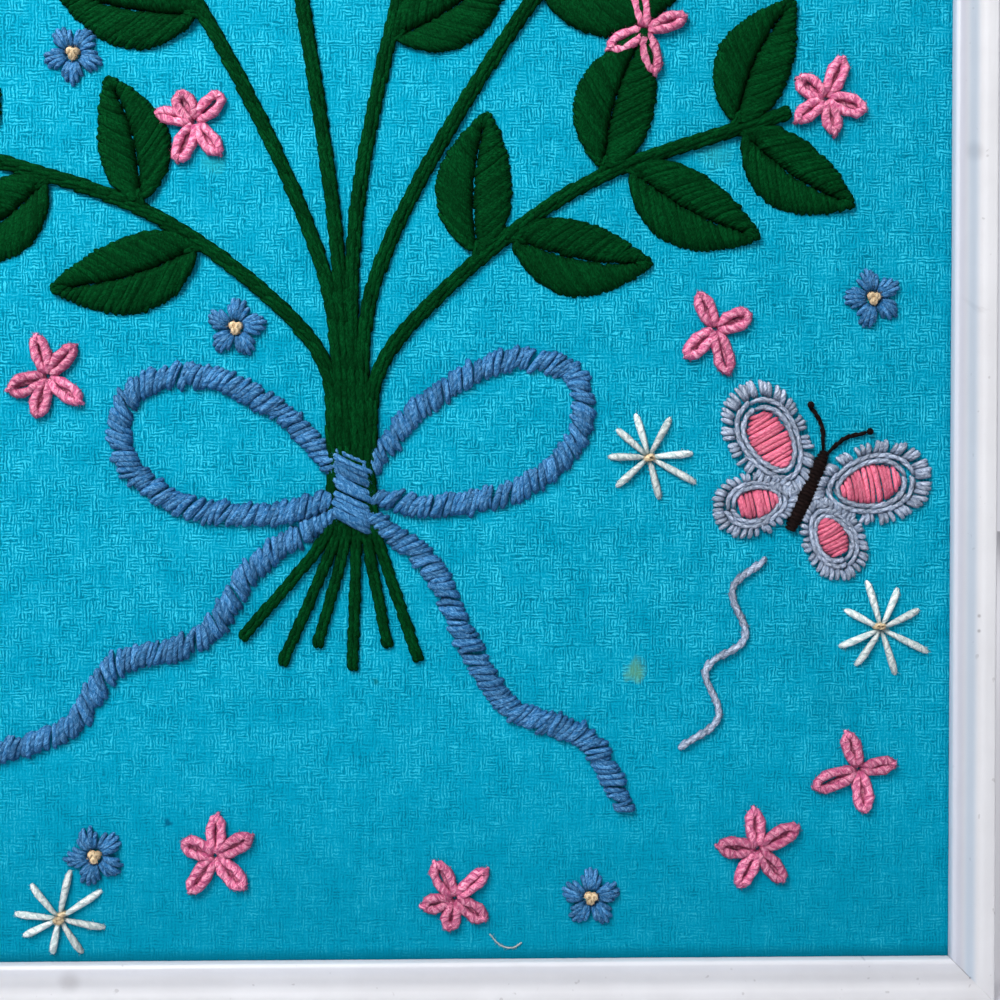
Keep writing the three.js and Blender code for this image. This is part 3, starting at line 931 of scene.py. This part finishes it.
# u, v, turn
ROUND_FLOWERS = [(-26, -31, 0.2), (118, -24, 0.6), (38, 74, 0.1), (-62, 30, 0.9), (88, 62, 0.0),
                 (-96, 56, 0.5), (54, -160, 0.3), (-104, -40, 0.2), (-58, -150, 0.7)]
cream_skein = []
for u, v, turn in ROUND_FLOWERS:
    round_flower((u, v), turn)
    for angle in (0.4, 2.5, 4.6):
        knot(cream_skein, np.array([u, v]) + 0.7 * heading(angle), 0.6, 1.0)
work("blue_ribbon_and_flowers", blue_skein, blue_wool, 4.0)

# %% Grey moth with coral patches
grey_skein, coral_skein, black_skein = [], [], []
MOTH, MOTH_TURN = np.array([103.0, -68.0]), math.radians(-24)
# middle of each wing from the body, half length, half breadth, turn in degrees, for the right side
WINGS = [((12.5, 7.5), 13.5, 8.6, 36), ((9.5, -7.0), 9.6, 6.6, -38)]


def on_moth(points, hand=1):
    """Places on the moth, turned and moved to its place on the picture."""
    ahead, aside = heading(MOTH_TURN), left_of(heading(MOTH_TURN))
    return np.array([MOTH + hand * u * ahead + v * aside for u, v in np.atleast_2d(points)])


def wing_ring(wing, share, count=72):
    """A ring inside a wing, at a share of its size."""
    (u, v), half_long, half_wide, turn = wing
    angle = np.linspace(0, 2 * math.pi, count)
    along = np.cos(angle) * half_long * share
    aside = np.sin(angle) * half_wide * share * (1 + 0.18 * np.cos(angle))
    ahead = heading(math.radians(turn))
    return np.array([u, v]) + along[:, None] * ahead + aside[:, None] * left_of(ahead)


for hand in (-1, 1):
    for wing in WINGS:
        edge, inside = on_moth(wing_ring(wing, 1.05), hand), on_moth(wing_ring(wing, 0.78), hand)
        for i in np.linspace(0, len(edge) - 2, int(length_of(edge) / 1.35)).astype(int):
            stitch(grey_skein, inside[i] + uneven_by(0.14), edge[i] + uneven_by(0.22),
                   1.15 + uneven_by(0.1, None), 0.7)
        for share in (0.72, 0.58):
            stem_stitch(grey_skein, on_moth(wing_ring(wing, share), hand), 1.0, 4.4, 0.6)
        middle = on_moth([wing[0]], hand)[0]
        tilt = math.atan2(*(edge[0] - middle)[::-1])
        satin_oval(coral_skein, middle, wing[1] * 0.52, wing[2] * 0.52, tilt)
for distance in np.arange(-9.0, 10.5, 0.85):
    half = 1.9 * math.sqrt(max(0.05, 1 - (distance / 11) ** 2))
    stitch(black_skein, on_moth([(-half, distance)])[0], on_moth([(half, distance)])[0], 1.1, 1.2)
for hand in (-1, 1):
    stem_stitch(black_skein, on_moth(smooth_line([(0.6, 10), (3, 15), (7, 18)]), hand), 0.8, 3.4, 0.4)
    knot(black_skein, on_moth([(7.4, 18.4)], hand)[0], 0.5, 0.8)
TRAIL = [(94, -83), (86, -90), (89, -101), (80, -108), (83, -119), (74, -126)]
stem_stitch(grey_skein, smooth_line(TRAIL), 1.3, 4.6, 0.6)
work("grey_moth", grey_skein, grey_wool, 5.0)
work("coral_patches", coral_skein, coral_wool, 5.0)
work("black_body", black_skein, black_wool, 4.0)

# %% Pale stars and cream middles
STARS = [(67, -60), (120, -99), (-66, -164), (-114, -10), (-112, 104), (114, 62), (-52, 146),
         (62, 140), (-112, -142)]
ivory_skein = []
for number, (u, v) in enumerate(STARS):
    star(ivory_skein, (u, v), 8, 0.1 + 0.25 * number)
    for ray in range(4):
        out = np.array([u, v]) + uneven_by(0.5)
        stitch(cream_skein, out - (0.8, 0.0), out + (0.8, 0.4), 1.1, 1.1)
# One pale fibre lies loose near the bottom of the picture
fibre_line = smooth_line([(31.0, -168.2), (33.2, -170.6), (36.0, -171.4), (38.3, -170.2)], 4)
lay(ivory_skein, np.column_stack([fibre_line, np.full(len(fibre_line), 0.22)]), 0.3)
work("ivory_stars", ivory_skein, ivory_wool, 6.0)
work("cream_middles", cream_skein, cream_wool, 8.0)

# %% [markdown]
# ## The stretched cloth
# The ground cloth is one sheet: flat and tight over the board, turned round its edges, and laid on its back
# as a hem. It starts as a grid of the board's size. Every place where wool goes through the cloth pulls it
# down a little, so the grid's points are lowered by a blurred count of those places, with faint waves for
# the tension. Then the rim is drawn back round the board and folded in.

# %% Cloth sheet
GRID_STEP = 1.5
columns, rows = round(PANEL_WIDTH / GRID_STEP), round(PANEL_HEIGHT / GRID_STEP)
bpy.ops.object.select_all(action="DESELECT")
bpy.ops.mesh.primitive_grid_add(x_subdivisions=columns, y_subdivisions=rows, size=MM,
                                location=(0, CLOTH_Y * MM, CENTRE_Z * MM), rotation=(math.pi / 2, 0, 0))
cloth = bpy.context.object
cloth.name = "stitched_cloth"
cloth.scale = (PANEL_WIDTH, PANEL_HEIGHT, 1)
bpy.ops.object.transform_apply(location=True, rotation=True, scale=True)
points = np.empty(len(cloth.data.vertices) * 3)
cloth.data.vertices.foreach_get("co", points)
points = points.reshape(-1, 3)


def blurred_count(places, spread):
    """How many places lie near each grid point, softened over a spread in mm."""
    half = (PANEL_WIDTH / 2, PANEL_HEIGHT / 2)
    counts = np.histogram2d(places[:, 0], places[:, 1], bins=(columns + 1, rows + 1),
                            range=[[-half[0], half[0]], [-half[1], half[1]]])[0]
    reach = int(3 * spread / GRID_STEP) + 1
    weights = np.exp(-0.5 * (np.arange(-reach, reach + 1) * GRID_STEP / spread) ** 2)
    for axis in (0, 1):
        counts = np.apply_along_axis(np.convolve, axis, counts, weights / weights.sum(), "same")
    return counts


places = np.array(entry_points)
share_across = (points[:, 0] / MM + PANEL_WIDTH / 2) / PANEL_WIDTH
share_up = ((points[:, 2] / MM - CENTRE_Z) + PANEL_HEIGHT / 2) / PANEL_HEIGHT
column = np.clip((share_across * columns).round().astype(int), 0, columns)
row = np.clip((share_up * rows).round().astype(int), 0, rows)
near = np.minimum(blurred_count(places, 1.3), 1.0)[column, row]
around = np.minimum(blurred_count(places, 5.0), 0.7)[column, row]
u, v = points[:, 0] / MM, points[:, 2] / MM
waves = 0.10 * np.sin(u / 19 + 0.6 * np.sin(v / 31)) + 0.08 * np.sin(v / 23 + u / 57)
waves = waves + 0.05 * np.sin((u + v) / 11)
from_edge = np.minimum(PANEL_WIDTH / 2 - abs(u), PANEL_HEIGHT / 2 - abs(v - CENTRE_Z))
edge_room = np.clip((from_edge - 4) / 20, 0, 1)
points[:, 1] += (0.22 * near + 0.15 * around - waves * edge_room) * MM
cloth.data.vertices.foreach_set("co", points.ravel())
print("cloth points:", len(points), "lowered by up to", round(float((0.22 * near).max()), 2), "mm")

# %% Turn the hem
bpy.ops.object.mode_set(mode="EDIT")
bpy.ops.mesh.select_mode(type="EDGE")
bpy.ops.mesh.select_all(action="SELECT")
bpy.ops.mesh.region_to_loop()
bpy.ops.mesh.extrude_edges_move(TRANSFORM_OT_translate={"value": (0, (HEM_Y - CLOTH_Y) * MM, 0)})
hem_share_u = 1 - 2 * HEM_WIDTH / PANEL_WIDTH
hem_share_v = 1 - 2 * HEM_WIDTH / PANEL_HEIGHT
bpy.ops.mesh.extrude_edges_move(TRANSFORM_OT_translate={"value": (0, 0, 0)})
bpy.ops.transform.resize(value=(hem_share_u, 1, hem_share_v), center_override=(0, HEM_Y * MM, CENTRE_Z * MM))
bpy.ops.mesh.select_all(action="SELECT")
bpy.ops.mesh.normals_make_consistent(inside=False)
bpy.ops.object.mode_set(mode="OBJECT")
bpy.ops.object.shade_smooth_by_angle(angle=math.radians(40))
cloth.data.materials.append(turquoise_cloth)
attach(cloth, "root")
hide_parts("cloth")
print("cloth faces:", len(cloth.data.polygons))

# %% [markdown]
# ## Floor, light and camera
# The picture stands on a plain pale floor. A soft lamp up to the left lights it as a window would, and a
# second fills the other side. Two more lamps and a weak light overhead serve the back and the floor, and a
# pale world keeps the shadows open. The camera looks almost straight at the lower right part of the
# picture, from a little above and to the left.

# %% Floor
bpy.ops.object.select_all(action="DESELECT")
bpy.ops.mesh.primitive_circle_add(vertices=96, radius=3.0, fill_type="NGON", location=(0, 0, 0))
floor = bpy.context.object
floor.name = "studio_floor"
floor_finish, tree, shader = principled("studio_floor", 0.8)
shader.inputs["Base Color"].default_value = rgb(206, 205, 211)
floor.data.materials.append(floor_finish)
print("floor:", floor.name)

# %% Lamps and world


def soft_lamp(name, place, aim, size, power, spread=180):
    lamp = bpy.data.lights.new(name, "AREA")
    lamp.shape = "DISK"
    lamp.size = size
    lamp.energy = power
    lamp.spread = math.radians(spread)
    holder = bpy.data.objects.new(name, lamp)
    holder.location = place
    holder.rotation_euler = (Vector(aim) - Vector(place)).to_track_quat("-Z", "Y").to_euler()
    bpy.context.scene.collection.objects.link(holder)
    return holder


soft_lamp("window_lamp", (-0.27, -0.42, 0.58), (0.0, 0, 0.20), 0.40, 1.75, 90)
soft_lamp("fill_lamp", (0.9, -1.2, 0.5), (0, 0, 0.15), 1.2, 1.0)
soft_lamp("back_lamp", (-0.9, 1.3, 0.9), (0, 0, 0.15), 1.0, 12.0)
soft_lamp("floor_lamp", (0.4, 1.1, 1.1), (0.35, 0.9, 0), 1.0, 8.0)
overhead = bpy.data.objects.new("overhead_light", bpy.data.lights.new("overhead_light", "SUN"))
overhead.data.energy = 0.6
overhead.data.angle = math.radians(60)
overhead.location = (0, 0, 2.0)
bpy.context.scene.collection.objects.link(overhead)
world = bpy.data.worlds.new("pale_room")
bpy.context.scene.world = world
world.use_nodes = True
room = world.node_tree
seen_room = room.nodes["Background"]
seen_room.inputs["Color"].default_value = rgb(206, 206, 215)
room_light = add_node(room, "ShaderNodeBackground", None, {"Color": rgb(206, 207, 216), "Strength": 0.36})
camera_ray = add_node(room, "ShaderNodeLightPath").outputs["Is Camera Ray"]
either = add_node(room, "ShaderNodeMixShader", None,
                  {0: camera_ray, 1: room_light.outputs[0], 2: seen_room.outputs[0]})
room.links.new(either.outputs[0], room.nodes["World Output"].inputs["Surface"])
bpy.context.scene.view_settings.view_transform = "Standard"

# %% Camera
LENS = 45.0
AIM_U, AIM_V = 33.35, -69.7
DISTANCE = 282.5
YAW, PITCH = math.radians(1.04), math.radians(0.80)
aim = Vector((AIM_U, CLOTH_Y, AIM_V + CENTRE_Z)) * MM
place = aim + Vector((-math.tan(YAW), -1.0, math.tan(PITCH))) * DISTANCE * MM
camera_data = bpy.data.cameras.new("camera")
camera_data.lens = LENS
camera_data.clip_start = 0.01
camera = bpy.data.objects.new("camera", camera_data)
camera.location = place
camera.rotation_euler = (aim - place).to_track_quat("-Z", "Y").to_euler()
bpy.context.scene.collection.objects.link(camera)
bpy.context.scene.camera = camera
print("camera at", [round(c, 4) for c in place])
